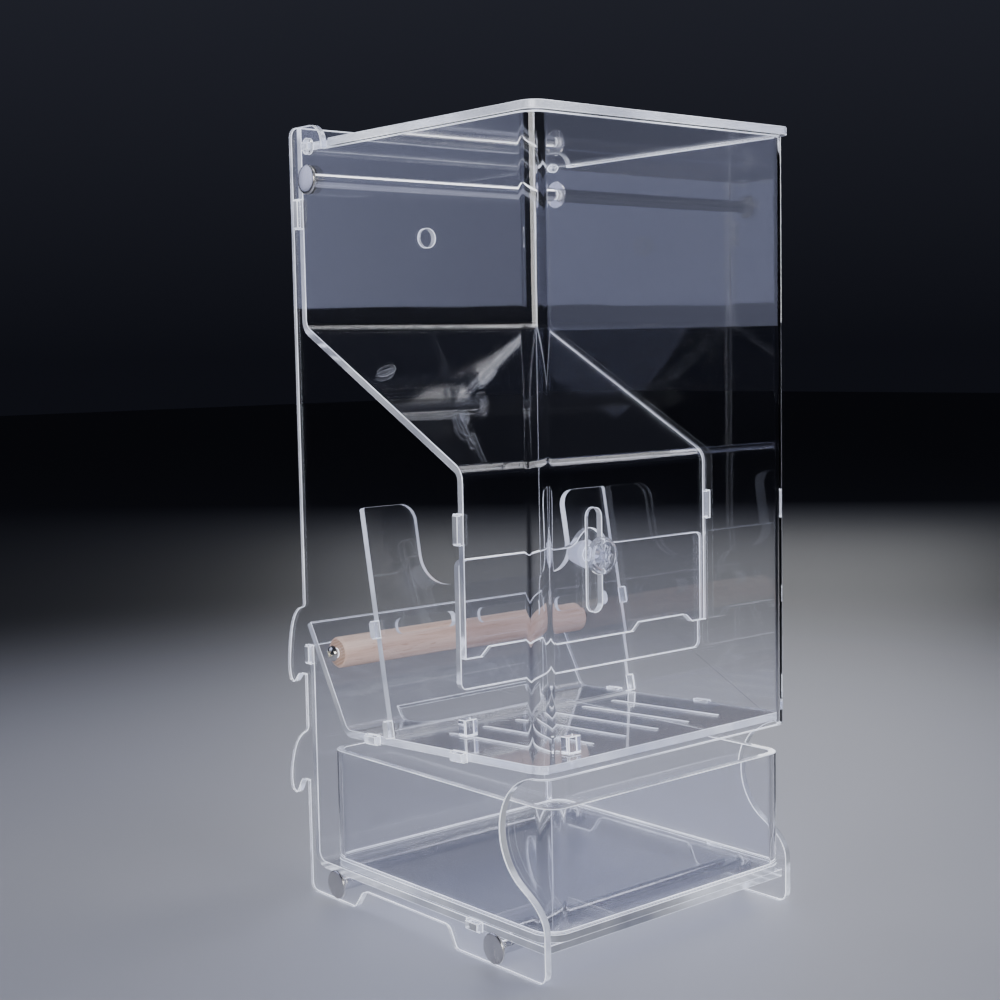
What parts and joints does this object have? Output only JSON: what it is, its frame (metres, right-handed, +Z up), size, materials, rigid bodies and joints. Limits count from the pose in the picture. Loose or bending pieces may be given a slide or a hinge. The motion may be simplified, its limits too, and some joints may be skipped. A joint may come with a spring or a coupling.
{
  "type": "bird cage seed feeder",
  "caption": "Tall clear acrylic gravity seed feeder with hinged lid, adjustable seed gate, perch chamber open at the back, pull-out husk drawer and side hooks for cage wires.",
  "frame": {"origin": "centre of the object's bounding box in plan, at the height of the underside of the feet", "axes": "+Z up; the closed front wall and the drawer front face -Y; the open back and the hooks face +Y; +X is to the right seen from the front"},
  "size_m": [0.1362, 0.161, 0.3115],
  "materials": {
    "clear_acrylic": "clear cast acrylic sheet, polished faces and bright cut edges",
    "frosted_plastic": "translucent moulded plastic, slightly frosted",
    "polished_steel": "polished stainless steel",
    "beech": "bare turned beech, fine straight grain"
  },
  "bodies": {
    "shell": {"outer_shell": "clear_acrylic", "hopper_sheet": "clear_acrylic", "baffle": "clear_acrylic", "seed_tray": "clear_acrylic", "tray_block_rear": "clear_acrylic", "tray_block_front": "clear_acrylic", "perch": "beech", "perch_screw_left": "polished_steel", "perch_screw_right": "polished_steel", "base_sheet": "clear_acrylic", "tie_rod_top": "polished_steel", "rod_cap_top_left": "polished_steel", "rod_cap_top_right": "polished_steel", "tie_rod_rear": "polished_steel", "rod_cap_rear_left": "polished_steel", "rod_cap_rear_right": "polished_steel", "tie_rod_front": "polished_steel", "rod_cap_front_left": "polished_steel", "rod_cap_front_right": "polished_steel"},
    "lid": {"lid": "clear_acrylic"},
    "gate": {"gate_plate": "clear_acrylic", "gate_nut": "frosted_plastic"},
    "knob": {"gate_knob": "frosted_plastic"},
    "drawer": {"drawer_walls": "clear_acrylic", "drawer_floor": "clear_acrylic"}
  },
  "joints": [
    {"name": "lid_hinge", "type": "hinge", "parent": "shell", "child": "lid", "pos_m": [0, 0.0547, 0.3035], "axis": [-1, 0, 0], "range_deg": [0, 118]},
    {"name": "gate_slide", "type": "slide", "parent": "shell", "child": "gate", "axis": [0, 0, 1], "range_m": [-0.019, 0.015]},
    {"name": "knob_turn", "type": "hinge", "parent": "gate", "child": "knob", "pos_m": [0, -0.0378, 0.1426], "axis": [0, -1, 0], "range_deg": [0, 360]},
    {"name": "drawer_slide", "type": "slide", "parent": "shell", "child": "drawer", "axis": [0, -1, 0], "range_m": [0, 0.12]}
  ]
}
